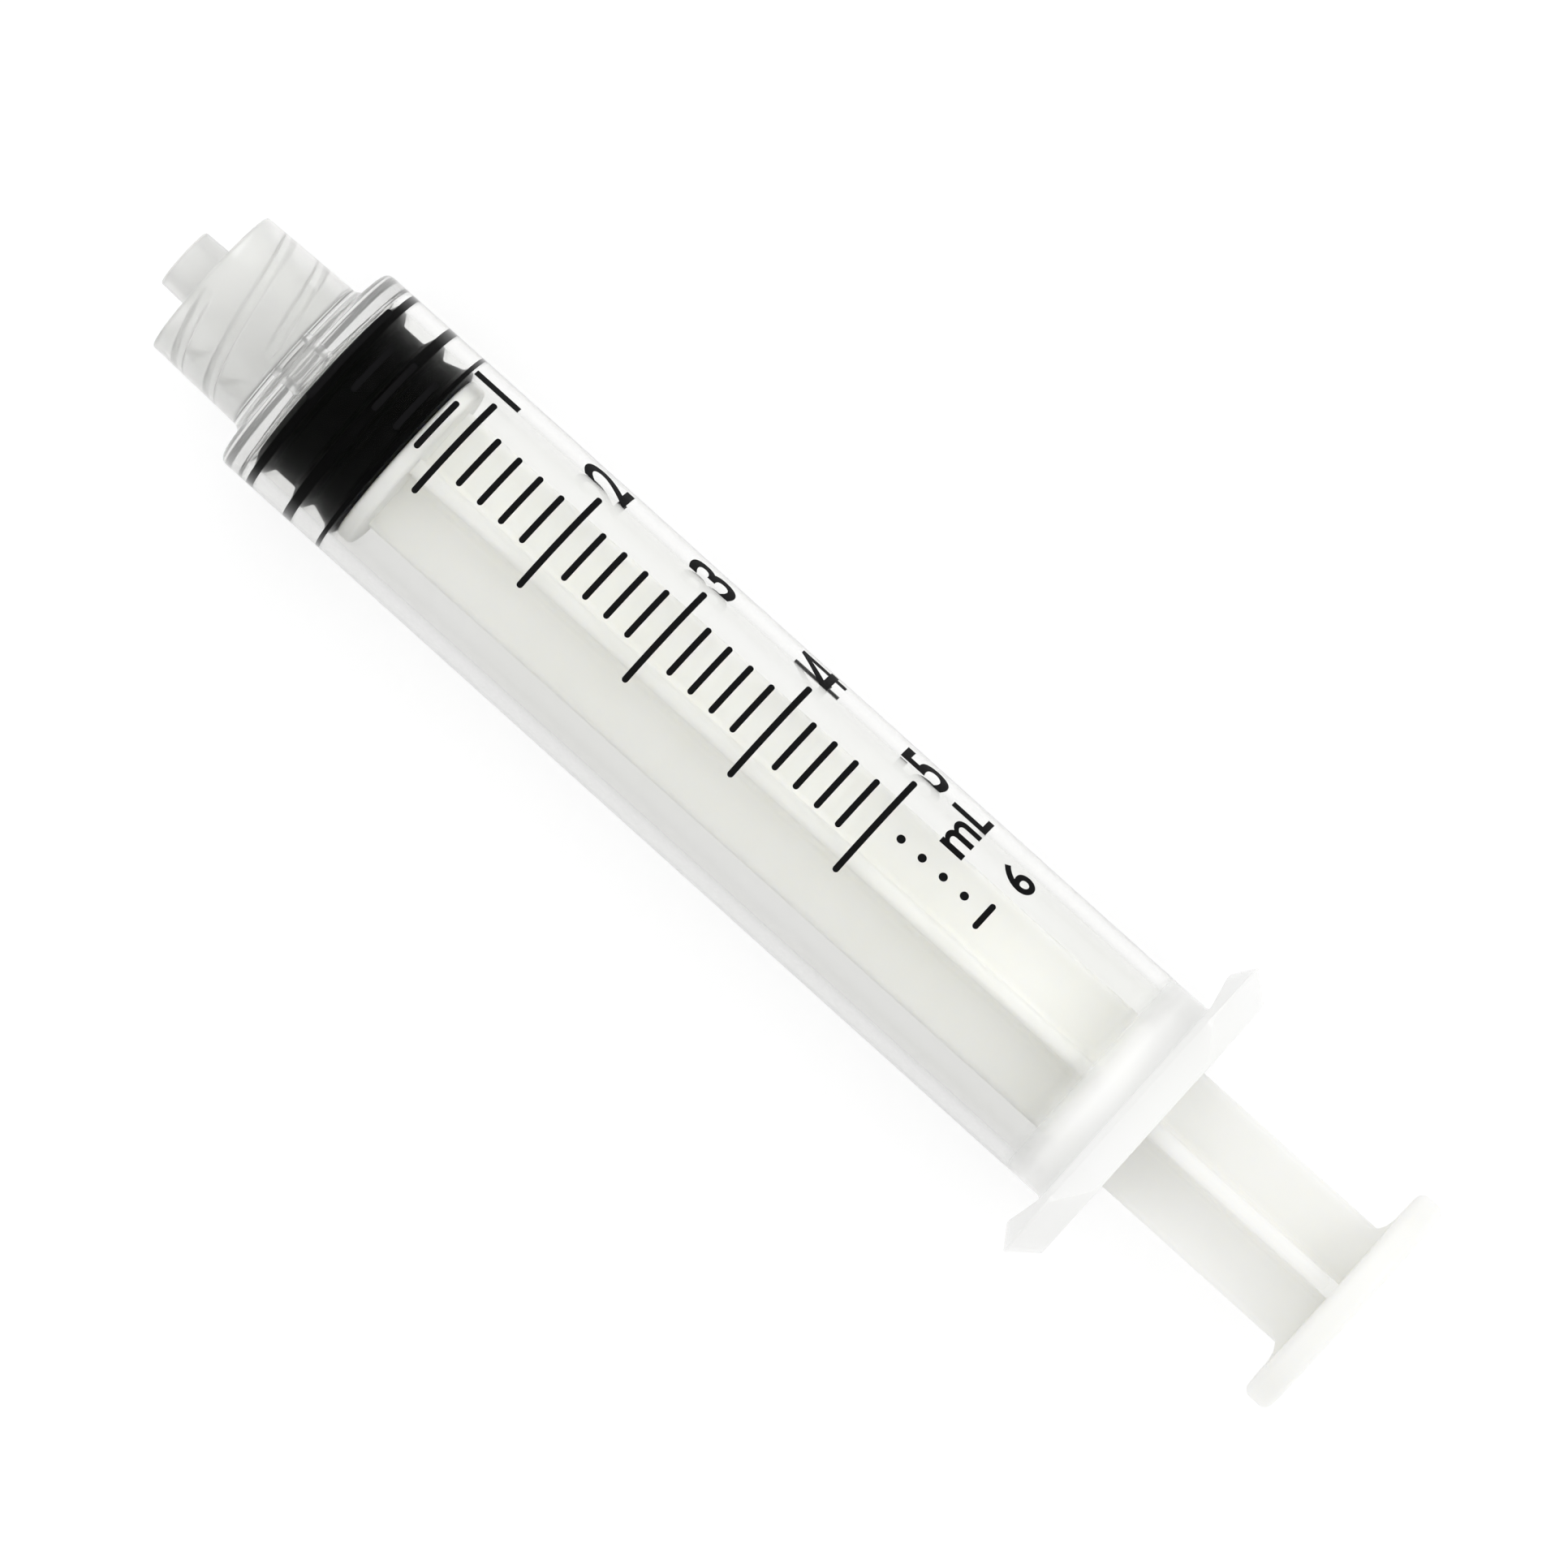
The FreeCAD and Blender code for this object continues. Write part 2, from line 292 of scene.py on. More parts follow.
def bumped(nodes, links, shader, field, height):
    bump = nodes.new("ShaderNodeBump")
    bump.inputs["Distance"].default_value = height
    links.new(field, bump.inputs["Height"])
    links.new(bump.outputs["Normal"], shader.inputs["Normal"])


# Finishes

clearLook = {
    "thin": (0.985, 0.985, 0.978),
    "thick": (0.970, 0.972, 0.955),
    "gloss": (0.03, 0.07),          # least and most roughness
    "ior": 1.49,
    "shine": 0.1,
    "flow": (260, 3),               # scale and detail of the melt's flow marks
    "flowStretch": (0.25, 1, 1),    # they run along the tube
    "flowHeight": 0.004 * mm,
    "cloud": (900, 4),
    "tubeClear": 1.0,               # share of the light that passes clear
    "collarClear": 0.77,
    "collarInside": 0.5,            # the collar's threaded wall and the cone in it
    "flangeClear": 0.1,
    "collarDepth": (8.2, 8.8),      # stations where the collar's inside ends
    "collarEnd": (10.2, 11.2),      # and where the collar turns into the tube
    "flangeStart": (-3.6, -1.3),    # from the flange's front to where it turns milky
    "flangeInside": (-1.6, -0.2),   # and in the bore, a little later
    "collarSkin": (4.25, 4.75),     # radii between the inside and the outside
    "tubeSkin": (6.6, 6.9),
}


def atStations(edges, origin=0):
    return [tipX + (origin + station) * mm for station in edges]


def atRadii(edges):
    return [edge * mm for edge in edges]


def clearShare(nodes, links):
    # The thick collar and flange are milky, and the thin tube between them is clear.
    look = clearLook
    tube, clear = look["tubeClear"], look["collarClear"]
    along = placeAxes(nodes, links)["X"]
    radius = axisDistance(nodes, links)
    depthEdges = atStations(look["collarDepth"])
    depth = spread(nodes, links, along, depthEdges, (look["collarInside"], clear))
    collarOutside = risen(nodes, links, radius, atRadii(look["collarSkin"]))
    collar = blended(nodes, links, collarOutside, depth, clear)
    pastCollar = risen(nodes, links, along, atStations(look["collarEnd"]))
    front = blended(nodes, links, pastCollar, collar, tube)
    outsideEdges = atStations(look["flangeStart"], flangeFront)
    insideEdges = atStations(look["flangeInside"], flangeFront)
    outside = spread(nodes, links, along, outsideEdges, (tube, look["flangeClear"]))
    inside = spread(nodes, links, along, insideEdges, (tube, look["flangeClear"]))
    tubeOutside = risen(nodes, links, radius, atRadii(look["tubeSkin"]))
    rear = blended(nodes, links, tubeOutside, inside, outside)
    return calculated(nodes, links, "MULTIPLY", front, rear)


def clearPlasticMaterial():
    look = clearLook
    material, nodes, links, shader = newMaterial("clearPolypropylene")
    flow = noiseField(nodes, links, *look["flow"], look["flowStretch"])
    cloud = noiseField(nodes, links, *look["cloud"])
    tint = tinted(nodes, links, flow, look["thick"], look["thin"])
    links.new(tint, shader.inputs["Base Color"])
    roughness = spread(nodes, links, cloud, noiseSpan, look["gloss"])
    links.new(roughness, shader.inputs["Roughness"])
    bumped(nodes, links, shader, flow, look["flowHeight"])
    links.new(clearShare(nodes, links), shader.inputs["Transmission Weight"])
    shader.inputs["IOR"].default_value = look["ior"]
    shader.inputs["Specular Tint"].default_value = (*[look["shine"]] * 3, 1)
    return material


rubberLook = {
    "dark": (0.0006, 0.0006, 0.0008),
    "worn": (0.002, 0.002, 0.0022),
    "sheen": (0.4, 0.55),
    "film": (700, 2),       # patches of silicone
    "grain": (4200, 5),
    "grainHeight": 0.004 * mm,
    "ior": 1.4,
    "shine": 0.1,
}


def rubberMaterial():
    look = rubberLook
    material, nodes, links, shader = newMaterial("blackButylRubber")
    grain = noiseField(nodes, links, *look["grain"])
    film = noiseField(nodes, links, *look["film"])
    tint = tinted(nodes, links, film, look["dark"], look["worn"])
    links.new(tint, shader.inputs["Base Color"])
    roughness = spread(nodes, links, film, noiseSpan, look["sheen"])
    links.new(roughness, shader.inputs["Roughness"])
    bumped(nodes, links, shader, grain, look["grainHeight"])
    shader.inputs["IOR"].default_value = look["ior"]
    shader.inputs["Specular IOR Level"].default_value = look["shine"]
    return material


rodLook = {
    "pale": (0.93, 0.93, 0.905),
    "deep": (0.91, 0.91, 0.88),
    "satin": (0.32, 0.44),
    "cloud": (240, 3),
    "grain": (5200, 3),
    "grainHeight": 0.004 * mm,
    "milkiness": 0.35,
    "milkyDepth": 1.2 * mm,
    "milkyTint": (1.0, 0.95, 0.8),
    "ior": 1.5,
}


def rodMaterial():
    look = rodLook
    material, nodes, links, shader = newMaterial("offWhitePolyethylene")
    cloud = noiseField(nodes, links, *look["cloud"])
    grain = noiseField(nodes, links, *look["grain"])
    tint = tinted(nodes, links, cloud, look["deep"], look["pale"])
    links.new(tint, shader.inputs["Base Color"])
    roughness = spread(nodes, links, grain, noiseSpan, look["satin"])
    links.new(roughness, shader.inputs["Roughness"])
    bumped(nodes, links, shader, grain, look["grainHeight"])
    shader.inputs["Subsurface Weight"].default_value = look["milkiness"]
    shader.inputs["Subsurface Radius"].default_value = look["milkyTint"]
    shader.inputs["Subsurface Scale"].default_value = look["milkyDepth"]
    shader.inputs["IOR"].default_value = look["ior"]
    return material


inkLook = {
    "full": (0.003, 0.003, 0.0035),
    "thin": (0.007, 0.007, 0.008),
    "matt": (0.6, 0.8),
    "screen": (6500, 4),
    "screenHeight": 0.002 * mm,
    "shine": 0.15,
}


def inkMaterial():
    look = inkLook
    material, nodes, links, shader = newMaterial("printedInk")
    screen = noiseField(nodes, links, *look["screen"])
    tint = tinted(nodes, links, screen, look["full"], look["thin"])
    links.new(tint, shader.inputs["Base Color"])
    roughness = spread(nodes, links, screen, noiseSpan, look["matt"])
    links.new(roughness, shader.inputs["Roughness"])
    bumped(nodes, links, shader, screen, look["screenHeight"])
    shader.inputs["Specular IOR Level"].default_value = look["shine"]
    return material


# Barrel: one clear moulding with tube, shoulder, luer cone, lock collar and flange

barrelShape = {
    "tipRadius": 3.93 / 2,
    "taper": 0.03,          # radius gained for each millimetre
    "lumenRadius": 1.1,
    "lumenRound": 0.1,
    "tipRound": 0.16,
    "seamStart": 3,         # from the collar's floor to the outline's start in the lumen
    "seamEnd": 2.9,         # and to its end there
    "collarRim": 2.1,
    "collarFloor": 8.6,
    "collarBore": 4.05,
    "rimRadius": 5.0,
    "baseRadius": 5.2,
    "rimRound": 0.14,
    "rimBand": 0.3,         # plain bore between the rim and the threaded wall
    "floorBand": 0.5,       # and between that wall and the floor
    "floorRound": 0.3,
    "shoulderRoot": 9.2,
    "shoulderTop": 9.44,
    "shoulderFillet": 0.75,
    "shoulderRound": 0.45,
    "tubeEnd": 1.0,         # the tube's own outline ends this far before the flange
    "innerEnd": 10.75,
    "innerRise": 0.5,
    "innerRound": 0.3,
    "throatRound": 0.15,
    "boreRadius": 6.255,
    "mouthRound": 0.35,
    "beadSetback": 1.35,
    "beadHeight": 0.15,
    "beadHalfWidth": 0.6,
    "beadMargin": 0.1,
    "beadSteps": 12,
    "segments": 240,
}

flangeShape = {
    "thickness": 2.2,
    "rootRound": 0.3,
    "rootSteps": 6,
    "slopeStart": 0.125,    # the wings' fronts slope towards the tip from here out
    "lipHeight": 0.53,
    "lipSetback": 1.38,
    "edgeSetback": 0.42,    # from the flange's front to the thin edge of the wings
    "edgeWidth": 0.13,
    "heelCut": 1.35,
    "flatBevel": 0.35,
    "flatHeel": 0.2,
    "softness": 0.07,       # how round the meeting of two faces is
    "cornerBlend": 0.3,
    "leastCosine": 0.05,    # keeps the flats' reach finite at the wings
    "rings": 34,
}

threadShape = {
    "starts": 2,
    "lead": 5.0,
    "height": 0.5,
    "crestHalf": 0.175,
    "rootHalf": 0.475,
    "from": 2.75,
    "to": 7.9,
    "firstAngle": 4.3,
    "runOut": 0.35,         # the ridge rises and sinks over this length at its ends
    "pitchOfRings": 0.055,
}

tubeRadius = mountNamed("barrel_grip")["dims"]["r_mm"]
perDegree = math.radians(1) * tubeRadius   # length of a degree round the tube
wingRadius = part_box("barrel")[1].y / mm
flatHalf = (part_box("barrel")[1].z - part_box("barrel")[0].z) / 2 / mm
flangeRear = stationOf(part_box("barrel")[1].x)
flangeFront = flangeRear - flangeShape["thickness"]


def luerRadius(station):
    return barrelShape["tipRadius"] + barrelShape["taper"] * station


def frontOutline():   # from inside the lumen round the cone to the collar's floor
    shape = barrelShape
    floor = shape["collarFloor"]
    corners = [
        (floor - shape["seamStart"], shape["lumenRadius"], 0),
        (0, shape["lumenRadius"], shape["lumenRound"]),
        (0, luerRadius(0), shape["tipRound"]),
        (floor, luerRadius(floor), shape["floorRound"]),
        (floor, shape["collarBore"], shape["floorRound"]),
        (floor - shape["floorBand"], shape["collarBore"], 0),
    ]
    return roundedOutline(corners, closed=False)


def collarWallOutline():   # the stretch of the collar's bore that carries the thread
    shape = barrelShape
    start = shape["collarFloor"] - shape["floorBand"]
    end = shape["collarRim"] + shape["rimBand"]
    rings = round((start - end) / threadShape["pitchOfRings"])
    wall = []
    for ring in range(1, rings):
        station = start + (end - start) * ring / rings
        wall.append(Vector((station, shape["collarBore"])))
    return wall


def outerOutline():   # from the collar's rim over the shoulder and tube to the flange
    shape = barrelShape
    rim = shape["collarRim"]
    corners = [
        (rim + shape["rimBand"], shape["collarBore"], 0),
        (rim, shape["collarBore"], shape["rimRound"]),
        (rim, shape["rimRadius"], shape["rimRound"]),
        (shape["shoulderRoot"], shape["baseRadius"], shape["shoulderFillet"]),
        (shape["shoulderTop"], tubeRadius, shape["shoulderRound"]),
        (flangeFront - shape["tubeEnd"], tubeRadius, 0),
    ]
    return roundedOutline(corners, closed=False, steps=10)


def softLeast(first, second):   # the lesser of two, with a round meeting
    soft = flangeShape["softness"]
    near = max(0, soft - abs(first - second))
    return min(first, second) - near * near / (4 * soft)


def outlineReach(degrees):   # how far the flange reaches at an angle: wings and two flats
    blend = flangeShape["cornerBlend"]
    across = abs(math.cos(math.radians(degrees)))
    toFlat = flatHalf / max(across, flangeShape["leastCosine"])
    near = max(0, blend - abs(toFlat - wingRadius))
    return min(toFlat, wingRadius) - near * near / (4 * blend)


frontSlope = (flangeShape["lipHeight"] + flangeShape["edgeSetback"]) / flangeShape["lipSetback"]
heelStart = flangeShape["edgeSetback"] + flangeShape["edgeWidth"]
backSlope = (flangeShape["thickness"] - heelStart) / flangeShape["heelCut"]


def flangeFace(radius, degrees, front):   # the station of the flange's front or back
    shape = flangeShape
    turn = math.radians(degrees)
    out = abs(radius * math.sin(turn))
    toFlat = flatHalf - abs(radius * math.cos(turn))
    toEdge = wingRadius - radius
    setback = shape["edgeSetback"]
    if not front:
        edge = flangeFront + setback
        face = softLeast(flangeRear, edge + shape["edgeWidth"] + toEdge * backSlope)
        return softLeast(face, flangeRear - shape["flatHeel"] + toFlat)
    slopeStart = tubeRadius + shape["slopeStart"]
    lipStart = wingRadius - shape["lipSetback"]
    rise = shape["lipHeight"] * (out - slopeStart) / (lipStart - slopeStart)
    face = softLeast(max(0, rise), shape["lipHeight"])
    face = softLeast(face, toEdge * frontSlope - setback)
    face = softLeast(face, toFlat * setback / shape["flatBevel"] - setback)
    return flangeFront - face


def flangeOutline(degrees):
    # From the tube out along the front, over the rim and back in along the rear.
    shape = flangeShape
    reach = outlineReach(degrees)
    root, rings = shape["rootRound"], shape["rings"]
    points = []
    for step in range(shape["rootSteps"] + 1):   # round root between tube and front
        turn = math.pi / 2 * step / shape["rootSteps"]
        station = flangeFront - root * (1 - math.sin(turn))
        points.append(Vector((station, tubeRadius + root * (1 - math.cos(turn)))))
    start = tubeRadius + root
    for ring in range(1, rings + 1):
        radius = start + (reach - start) * math.sin(math.pi / 2 * ring / rings)
        points.append(Vector((flangeFace(radius, degrees, True), radius)))
    for ring in range(rings, -1, -1):
        radius = start + (reach - start) * math.sin(math.pi / 2 * ring / rings)
        points.append(Vector((flangeFace(radius, degrees, False), radius)))
    return points


def boreOutline():   # from the mouth over the bead and down the bore into the lumen
    shape = barrelShape
    bore = shape["boreRadius"]
    bead = flangeFront - shape["beadSetback"]
    halfWidth = shape["beadHalfWidth"]
    mouth = roundedOutline([
        (flangeRear, tubeRadius, 0),
        (flangeRear, bore, shape["mouthRound"]),
        (bead + halfWidth + shape["beadMargin"], bore, 0),
    ], closed=False)
    ring = []
    for step in range(shape["beadSteps"] + 1):
        along = 1 - 2 * step / shape["beadSteps"]
        height = shape["beadHeight"] * (0.5 + 0.5 * math.cos(math.pi * along))
        ring.append(Vector((bead + halfWidth * along, bore - height)))
    end = roundedOutline([
        (bead - halfWidth - shape["beadMargin"], bore, 0),
        (shape["innerEnd"], bore, shape["innerRound"]),
        (shape["innerEnd"] - shape["innerRise"], shape["lumenRadius"], shape["throatRound"]),
        (shape["collarFloor"] - shape["seamEnd"], shape["lumenRadius"], 0),
    ], closed=False)
    return mouth + ring + end


def threadHeight(station, degrees):   # how far the ridges stand in at a place on the wall
    shape = threadShape
    tallest = 0
    for start in range(shape["starts"]):
        turnsIn = (degrees - shape["firstAngle"] - 360 * start / shape["starts"]) / 360
        turnsIn -= math.floor(turnsIn)
        ridge = shape["from"] + turnsIn * shape["lead"]
        while ridge <= shape["to"]:
            offset = abs(station - ridge)
            if offset < shape["rootHalf"]:
                flank = (shape["rootHalf"] - offset) / (shape["rootHalf"] - shape["crestHalf"])
                flank = min(1, flank)
                rise = flank * flank * (3 - 2 * flank)
                toEnd = min(ridge - shape["from"], shape["to"] - ridge) / shape["runOut"]
                fade = min(1, max(0, toEnd))
                tallest = max(tallest, shape["height"] * rise * fade)
            ridge += shape["lead"]
    return tallest


def makeBarrel(material):
    front = frontOutline()
    wall = collarWallOutline()
    outer = outerOutline()
    bore = boreOutline()
    columns = []
    for index in range(barrelShape["segments"]):
        degrees = 360 * index / barrelShape["segments"]
        threaded = []
        for station, radius in wall:
            threaded.append(Vector((station, radius - threadHeight(station, degrees))))
        column = front + threaded + outer + flangeOutline(degrees) + bore
        columns.append((degrees, [tuple(point) for point in column]))
    piece = smoothed(latheColumns("barrelClear", columns), sharpAngle=40)
    piece.data.materials.append(material)
    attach(piece, "barrel")
    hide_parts("barrel")


# Stopper: black rubber with three sealing ribs and a socket for the rod's head

stopperShape = {
    "noseRise": 0.5,
    "noseRound": 0.3,
    "sealRadius": 6.265,    # squeezed against the bore, so no air shows at the ribs
    "sealRound": 0.12,
    "grooveRadius": 5.56,
    "grooveRound": 0.25,
    "frontLead": 0.4,
    "frontRibEnd": 0.95,
    "middleRib": (3.25, 3.95),
    "flank": 0.35,
    "rearGrooveRadius": 6.0,
    "rearGrooveRound": 0.2,
    "rearFlank": 0.25,
    "rearRib": (5.85, 6.15),
    "rearRound": 0.08,
    "rearDrop": 0.2,
    "socketMouth": 2.5,
    "socketRadius": 3.5,
    "socketFront": 2.2,
    "socketRear": 4.8,
    "socketPoint": 0.8,
    "socketRound": 0.1,
    "segments": 160,
}


def makeStopper(material):
    shape = stopperShape
    front = stationOf(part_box("stopper")[0].x) + shape["noseRise"]
    rear = stationOf(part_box("stopper")[1].x)
    seal, sealRound = shape["sealRadius"], shape["sealRound"]
    groove, grooveRound = shape["grooveRadius"], shape["grooveRound"]
    flank = shape["flank"]
    middleStart, middleEnd = shape["middleRib"]
    rearStart, rearEnd = shape["rearRib"]
    rearGroove, rearGrooveRound = shape["rearGrooveRadius"], shape["rearGrooveRound"]
    socketFront = front + shape["socketFront"]
    socketRear = front + shape["socketRear"]
    socketRound = shape["socketRound"]
    corners = [
        (front - shape["noseRise"], nearAxis, 0),
        (front, groove, shape["noseRound"]),
        (front + shape["frontLead"], seal, sealRound),
        (front + shape["frontRibEnd"], seal, sealRound),
        (front + shape["frontRibEnd"] + flank, groove, grooveRound),
        (front + middleStart - flank, groove, grooveRound),
        (front + middleStart, seal, sealRound),
        (front + middleEnd, seal, sealRound),
        (front + middleEnd + flank, groove, grooveRound),
        (front + rearStart - shape["rearFlank"], rearGroove, rearGrooveRound),
        (front + rearStart, seal, shape["rearRound"]),
        (front + rearEnd, seal, shape["rearRound"]),
        (rear, seal - shape["rearDrop"], socketRound),
        (rear, shape["socketMouth"], socketRound),
        (socketRear, shape["socketMouth"], socketRound),
        (socketRear, shape["socketRadius"], socketRound),
        (socketFront, shape["socketRadius"], socketRound),
        (socketFront - shape["socketPoint"], nearAxis, 0),
    ]
    outline = roundedOutline(corners, steps=6)
    piece = smoothed(turned("stopperRubber", outline, shape["segments"]), sharpAngle=40)
    piece.data.materials.append(material)
    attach(piece, "stopper")
    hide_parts("stopper")


# Plunger rod: head, front disc, cross-ribbed shaft, gussets and thumb press

rodShape = {
    "discGap": 0.1,         # from the stopper's rear to the front disc
    "discThickness": 1.1,
    "discRadius": 5.9,
    "discRound": 0.28,
    "headRadius": 3.4,
    "headLength": 2.4,
    "headPoint": 0.8,
    "headRound": 0.3,
    "neckRadius": 2.4,
    "neckLength": 1.6,
    "neckRound": 0.15,
    "ribReach": 4.4,
    "ribThickness": 1.05,
    "ribRound": 0.42,
    "rootRound": 0.5,
    "gussetLength": 1.35,
    "gussetReach": 1.4,
    "gussetSteps": 8,
    "thumbRadius": 7.75,
    "thumbThickness": 1.8,
    "thumbRound": 0.55,
    "segments": 144,
}


def rodShaft(start, end):   # a cross of four ribs with round roots and edges
    shape = rodShape
    half = shape["ribThickness"] / 2
    corners = []
    for quarter in range(4):
        turn = math.radians(90 * quarter)
        for across, out, rounding in (
            (half, half, shape["rootRound"]),
            (half, shape["ribReach"], shape["ribRound"]),
            (-half, shape["ribReach"], shape["ribRound"]),
        ):
            first = across * math.cos(turn) - out * math.sin(turn)
            second = across * math.sin(turn) + out * math.cos(turn)
            corners.append((first, second, rounding))
    section = roundedOutline(corners, steps=6)
    vertices = []
    for station in (start, end):
        for point in section:
            vertices.append(offAxis(station, *point))
    return prism("rodShaft", vertices)


def gussetWeb(start, thumbFront, vertical):
    shape = rodShape
    half = shape["ribThickness"] / 2
    wide = shape["ribReach"] + shape["gussetReach"]
    narrow = shape["ribReach"] - shape["ribRound"]
    inside = thumbFront + shape["thumbThickness"] / 2
    outline = [(start, narrow)]
    for step in range(1, shape["gussetSteps"] + 1):   # the web widens in a hollow curve
        share = step / shape["gussetSteps"]
        reach = narrow + (wide - narrow) * (1 - math.sqrt(1 - share * share))
        outline.append((start + (thumbFront - start) * share, reach))
    outline.append((inside, wide))
    outline += [(station, -reach) for station, reach in reversed(outline)]
    vertices = []
    for side in (-half, half):
        for station, reach in outline:
            offset = (side, reach) if vertical else (reach, -side)
            vertices.append(offAxis(station, *offset))
    return prism("gussetWeb", vertices)


def turnedSolid(name, corners):   # its outline starts and ends at the axis
    return turned(name, roundedOutline(corners, closed=False), rodShape["segments"])


def makePlungerRod(material):
    shape = rodShape
    rodRear = stationOf(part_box("plunger_rod")[1].x)
    thumbFront = rodRear - shape["thumbThickness"]
    discFront = stationOf(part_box("stopper")[1].x) + shape["discGap"]
    discRear = discFront + shape["discThickness"]
    headRear = discFront - shape["neckLength"]
    headFront = headRear - shape["headLength"]
    head = turnedSolid("head", [
        (headFront - shape["headPoint"], nearAxis, 0),
        (headFront, shape["headRadius"], shape["headRound"]),
        (headRear, shape["headRadius"], shape["neckRound"]),
        (headRear, shape["neckRadius"], shape["neckRound"]),
        (discFront, shape["neckRadius"], shape["neckRound"]),
        (discFront, shape["discRadius"], shape["discRound"]),
        (discRear, shape["discRadius"], shape["discRound"]),
        (discRear, nearAxis, 0),
    ])
    thumb = turnedSolid("thumb", [
        (thumbFront, nearAxis, 0),
        (thumbFront, shape["thumbRadius"], shape["thumbRound"]),
        (rodRear, shape["thumbRadius"], shape["thumbRound"]),
        (rodRear, nearAxis, 0),
    ])
    shaftFront = discFront + shape["discThickness"] / 2
    shaft = rodShaft(shaftFront, rodRear - shape["thumbThickness"] / 2)
    start = thumbFront - shape["gussetLength"]
    webs = [gussetWeb(start, thumbFront, upright) for upright in (True, False)]
    for part in [head, thumb, shaft, *webs]:
        smoothed(part)
    piece = smoothed(united("plungerRod", [shaft, *webs, head, thumb]), sharpAngle=34)
    piece.data.materials.clear()
    piece.data.materials.append(material)
    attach(piece, "plunger")
    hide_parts("plunger_rod")


# Printed scale: bars, dots and plain figures wrapped on the tube

inkShape = {
    "lift": 0.004,
    "thickness": 0.016,
    "longWidth": 0.4,
    "shortWidth": 0.39,
    "longAngles": (-51.9, 9.8),
    "shortAngles": (-37.1, -6.0),
    "lastAngles": (-28.9, -13.5),
    "dotDiameter": 0.55,
    "dotAngle": -22.0,
    "zeroStation": 11.35,
    "marksPerMillilitre": 5,
    "millilitres": 6,
    "lastLongMark": 5,
    "endSteps": 8,          # of the round ends of bars
    "cuts": 71,             # through the flat print, so that it can bend round the tube
    "firstCut": -69.5,
    "cutStep": 2.0,         # in degrees
    "weld": 1e-5,
}

figureShape = {
    "startAngle": -58.5,    # edge of the figures nearest to the marks
    "stretch": 1.05,        # of their width
    "height": 3.35,
    "weight": 0.016,        # how much bolder than the plain font
    "curveSteps": 6,
    "shift": -0.6,          # of a figure's middle from its mark, at 0 mL
    "drift": 0.11,          # and how much less for each millilitre
    "lastHeight": 2.35,
    "lastStart": -43.2,
    "unitSetback": 5.0,     # from the last long mark to the unit's baseline
    "unit": (("m", -34.4, 1.74, 2.5), ("L", -57.3, 2.6, 1.8)),   # start, height and width
}

fourShape = (   # the figure 4 as four flat pieces, because its bold outline closes up
    ((0.36, 0), (0.48, 0), (0.48, 0.73), (0.36, 0.73)),
    ((0, 0.16), (0.36, 0.16), (0.36, 0.28), (0, 0.28)),
    ((0.48, 0.16), (0.58, 0.16), (0.58, 0.28), (0.48, 0.28)),
    ((0, 0.28), (0.15, 0.28), (0.36, 0.57), (0.36, 0.73)),
)

millilitre = 1000 / (math.pi * barrelShape["boreRadius"] ** 2)   # its length in the bore


def scaleStation(millilitres):
    return inkShape["zeroStation"] + millilitres * millilitre


def wrappedPrint(name, flat):
    # Lays a flat mesh of print on the tube: its x is the station and its y the angle.
    shape = inkShape
    work = bmesh.new()
    work.from_mesh(flat)
    for index in range(shape["cuts"]):
        geometry = work.verts[:] + work.edges[:] + work.faces[:]
        cut = Vector((0, shape["firstCut"] + index * shape["cutStep"], 0))
        bmesh.ops.bisect_plane(work, geom=geometry, plane_co=cut, plane_no=(0, 1, 0))
    bmesh.ops.remove_doubles(work, verts=work.verts, dist=shape["weld"])
    result = bmesh.ops.extrude_face_region(work, geom=work.faces[:])
    raised = {item for item in result["geom"] if isinstance(item, bmesh.types.BMVert)}
    low = tubeRadius + shape["lift"]
    high = low + shape["thickness"]
    for vertex in work.verts:
        radius = high if vertex in raised else low
        vertex.co = spot(vertex.co.x, radius, vertex.co.y)
    bmesh.ops.recalc_face_normals(work, faces=work.faces)
    work.verts.index_update()
    faces = []
    for face in work.faces:   # in a fixed order, so that each run gives the same mesh
        corners = [vertex.index for vertex in face.verts]
        first = corners.index(min(corners))
        faces.append(corners[first:] + corners[:first])
    mesh = bpy.data.meshes.new(name)
    mesh.from_pydata([vertex.co for vertex in work.verts], [], sorted(faces))
    work.free()
    return mesh


def pill(station, width, startAngle, endAngle):   # a bar with round ends
    half = width / 2
    points = []
    for end, way in ((endAngle, 1), (startAngle, -1)):
        centre = end - way * half / perDegree
        for step in range(inkShape["endSteps"] + 1):
            turn = math.pi * step / inkShape["endSteps"]
            along = half * math.cos(turn) * way
            out = half * math.sin(turn) * way / perDegree
            points.append((station + along, centre + out))
    return points


def scaleMarks():   # the flat outlines of all bars and dots
    shape = inkShape
    shapes = []
    marks = shape["millilitres"] * shape["marksPerMillilitre"]
    for mark in range(marks + 1):
        volume = mark / shape["marksPerMillilitre"]
        station = scaleStation(volume)
        if mark == marks:
            shapes.append(pill(station, shape["shortWidth"], *shape["lastAngles"]))
        elif volume > shape["lastLongMark"]:
            reach = shape["dotDiameter"] / 2 / perDegree
            angles = shape["dotAngle"] - reach, shape["dotAngle"] + reach
            shapes.append(pill(station, shape["dotDiameter"], *angles))
        elif mark % shape["marksPerMillilitre"] == 0:
            shapes.append(pill(station, shape["longWidth"], *shape["longAngles"]))
        else:
            shapes.append(pill(station, shape["shortWidth"], *shape["shortAngles"]))
    return shapes


def addOutlines(work, outlines):
    for outline in outlines:
        work.faces.new([work.verts.new((x, y, 0)) for x, y in outline])


